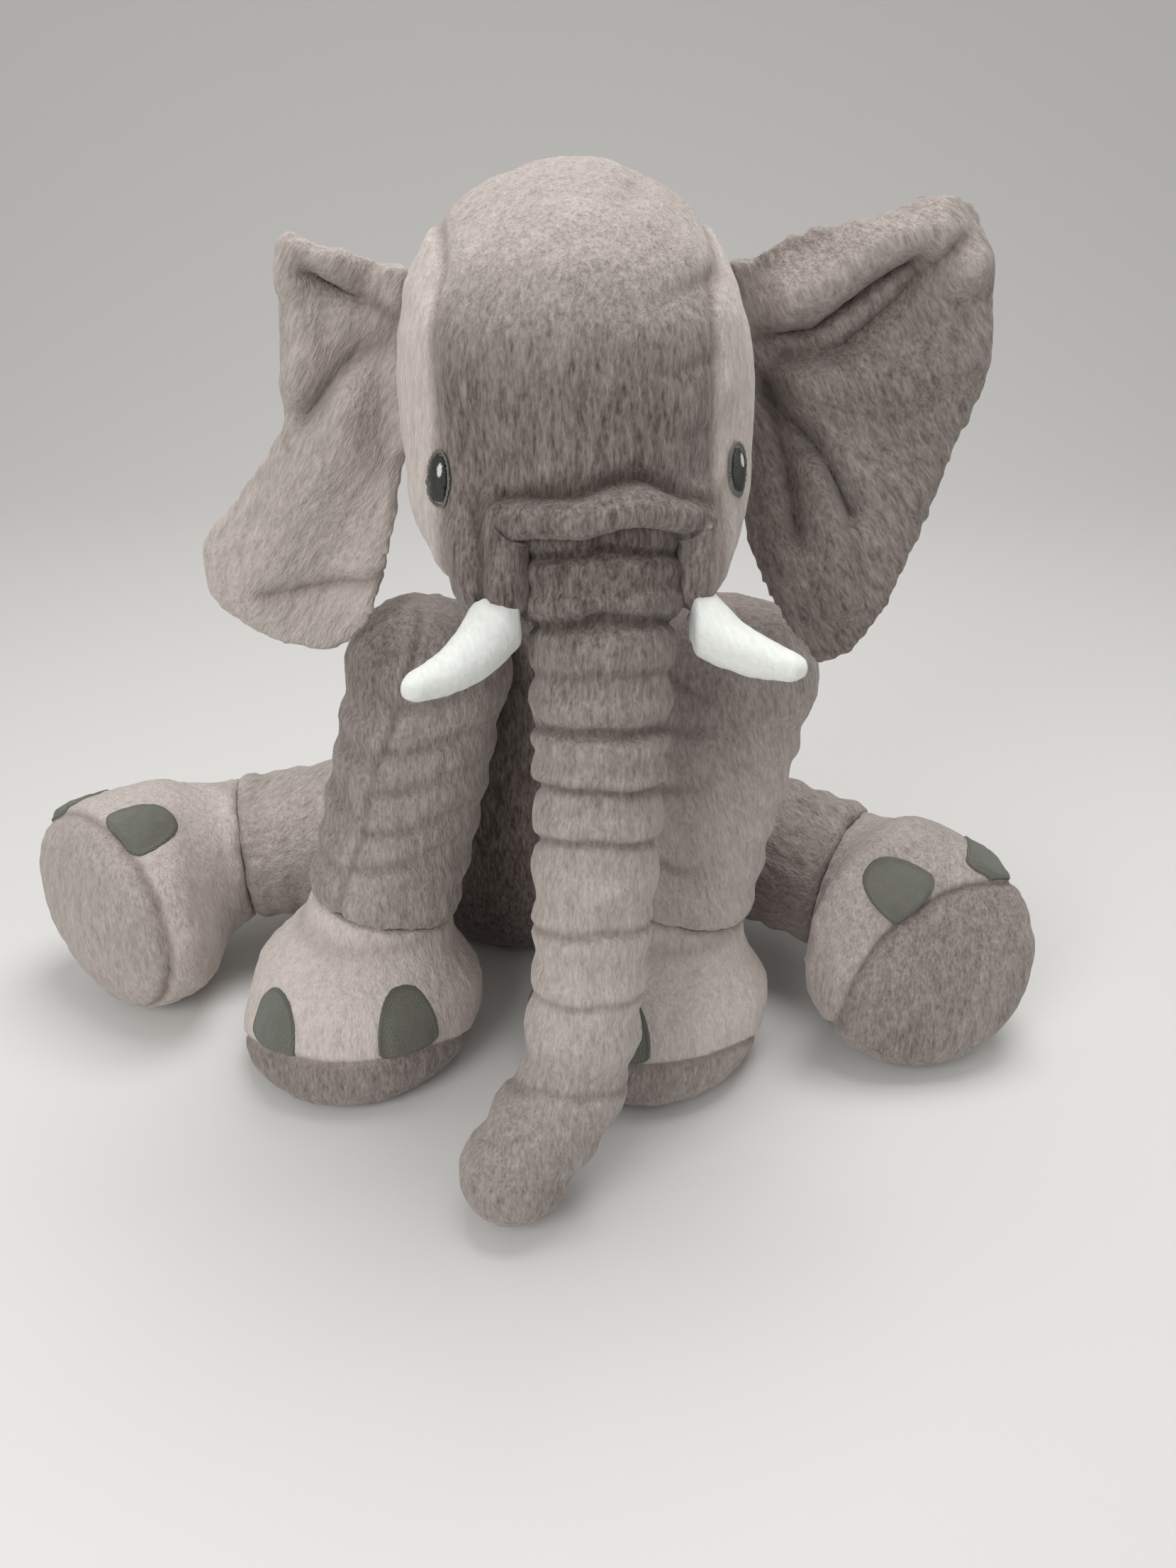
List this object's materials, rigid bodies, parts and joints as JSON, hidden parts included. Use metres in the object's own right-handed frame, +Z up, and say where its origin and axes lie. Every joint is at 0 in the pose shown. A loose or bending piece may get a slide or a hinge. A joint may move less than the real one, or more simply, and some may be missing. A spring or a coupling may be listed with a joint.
{
  "type": "stuffed elephant",
  "caption": "Seated grey plush elephant with floppy ears, gathered trunk and legs, soft white tusks, embroidered eyes and knit toenails; head, ears, trunk, legs and tail move.",
  "frame": {"origin": "on the flat underside that the toy sits on, between the hips", "axes": "+Z up, the animal faces -Y, +X is the animal's own left; the mount's face looks down -Z"},
  "size_m": [0.7584, 0.5294, 0.5997],
  "materials": {
    "plush": "warm grey short-pile plush, brushed",
    "filling": "white polyester fibre filling",
    "nail_knit": "dark grey-green fine knit",
    "tusk_velour": "off-white smooth velour",
    "eye_ring": "grey-green satin-stitch embroidery",
    "eye_black": "near-black satin-stitch embroidery"
  },
  "bodies": {
    "torso": {"torso_left_side": "plush", "torso_right_side": "plush", "torso_filling": "filling"},
    "head": {"head_gusset": "plush", "head_left_cheek": "plush", "head_right_cheek": "plush", "head_filling": "filling", "left_eye_ring": "eye_ring", "left_eye_pupil": "eye_black", "right_eye_ring": "eye_ring", "right_eye_pupil": "eye_black", "left_tusk": "tusk_velour", "right_tusk": "tusk_velour"},
    "left_ear": {"left_ear_front": "plush", "left_ear_back": "plush"},
    "right_ear": {"right_ear_front": "plush", "right_ear_back": "plush"},
    "trunk_root": {"trunk_root_sleeve": "plush", "trunk_root_filling": "filling"},
    "trunk_upper": {"trunk_upper_sleeve": "plush", "trunk_upper_filling": "filling"},
    "trunk_middle": {"trunk_middle_sleeve": "plush", "trunk_middle_filling": "filling"},
    "trunk_lower": {"trunk_lower_sleeve": "plush", "trunk_lower_filling": "filling"},
    "trunk_tip": {"trunk_tip_sleeve": "plush", "trunk_tip_filling": "filling"},
    "front_left_leg": {"front_left_leg_sleeve": "plush", "front_left_leg_filling": "filling", "front_left_foot_cover": "plush", "front_left_sole": "plush", "front_left_foot_filling": "filling", "front_left_nails": "nail_knit"},
    "front_right_leg": {"front_right_leg_sleeve": "plush", "front_right_leg_filling": "filling", "front_right_foot_cover": "plush", "front_right_sole": "plush", "front_right_foot_filling": "filling", "front_right_nails": "nail_knit"},
    "hind_left_leg": {"hind_left_leg_sleeve": "plush", "hind_left_leg_filling": "filling", "hind_left_foot_cover": "plush", "hind_left_sole": "plush", "hind_left_foot_filling": "filling", "hind_left_nails": "nail_knit"},
    "hind_right_leg": {"hind_right_leg_sleeve": "plush", "hind_right_leg_filling": "filling", "hind_right_foot_cover": "plush", "hind_right_sole": "plush", "hind_right_foot_filling": "filling", "hind_right_nails": "nail_knit"},
    "tail": {"tail_cord": "plush", "tail_tuft": "plush"}
  },
  "joints": [
    {"name": "head_nod", "type": "hinge", "parent": "torso", "child": "head", "pos_m": [0.036, -0.115, 0.405], "axis": [-1, 0, 0], "range_deg": [-1, 9]},
    {"name": "left_ear_flap", "type": "hinge", "parent": "head", "child": "left_ear", "pos_m": [0.12238, -0.16484, 0.501], "axis": [0, 0, -1], "range_deg": [-7, 20]},
    {"name": "right_ear_flap", "type": "hinge", "parent": "head", "child": "right_ear", "pos_m": [-0.06223, -0.18751, 0.501], "axis": [0, 0, 1], "range_deg": [-7, 20]},
    {"name": "trunk_root_bend", "type": "hinge", "parent": "head", "child": "trunk_root", "pos_m": [0.04477, -0.26304, 0.434], "axis": [-1, 0, 0], "range_deg": [0, 12]},
    {"name": "trunk_upper_bend", "type": "hinge", "parent": "trunk_root", "child": "trunk_upper", "pos_m": [0.04777, -0.28303, 0.37], "axis": [-1, 0, 0], "range_deg": [0, 22]},
    {"name": "trunk_middle_bend", "type": "hinge", "parent": "trunk_upper", "child": "trunk_middle", "pos_m": [0.04577, -0.29703, 0.276], "axis": [-1, 0, 0], "range_deg": [0, 22]},
    {"name": "trunk_lower_bend", "type": "hinge", "parent": "trunk_middle", "child": "trunk_lower", "pos_m": [0.04077, -0.31104, 0.172], "axis": [-1, 0, 0], "range_deg": [0, 22]},
    {"name": "trunk_tip_bend", "type": "hinge", "parent": "trunk_lower", "child": "trunk_tip", "pos_m": [0.03177, -0.31904, 0.098], "axis": [-1, 0, 0], "range_deg": [0, 22]},
    {"name": "front_left_leg_swing", "type": "hinge", "parent": "torso", "child": "front_left_leg", "pos_m": [0.13818, -0.13991, 0.292], "axis": [-1, 0, 0], "range_deg": [-1, 4]},
    {"name": "front_right_leg_swing", "type": "hinge", "parent": "torso", "child": "front_right_leg", "pos_m": [-0.06642, -0.13991, 0.292], "axis": [-1, 0, 0], "range_deg": [-1, 16]},
    {"name": "hind_left_leg_splay", "type": "hinge", "parent": "torso", "child": "hind_left_leg", "pos_m": [0.15959, -0.02655, 0.094], "axis": [0, 0, 1], "range_deg": [-3, 18]},
    {"name": "hind_right_leg_splay", "type": "hinge", "parent": "torso", "child": "hind_right_leg", "pos_m": [-0.15567, -0.02655, 0.094], "axis": [0, 0, -1], "range_deg": [-3, 18]},
    {"name": "tail_lift", "type": "hinge", "parent": "torso", "child": "tail", "pos_m": [0.00529, 0.12218, 0.118], "axis": [1, 0, 0], "range_deg": [-4, 40]}
  ]
}
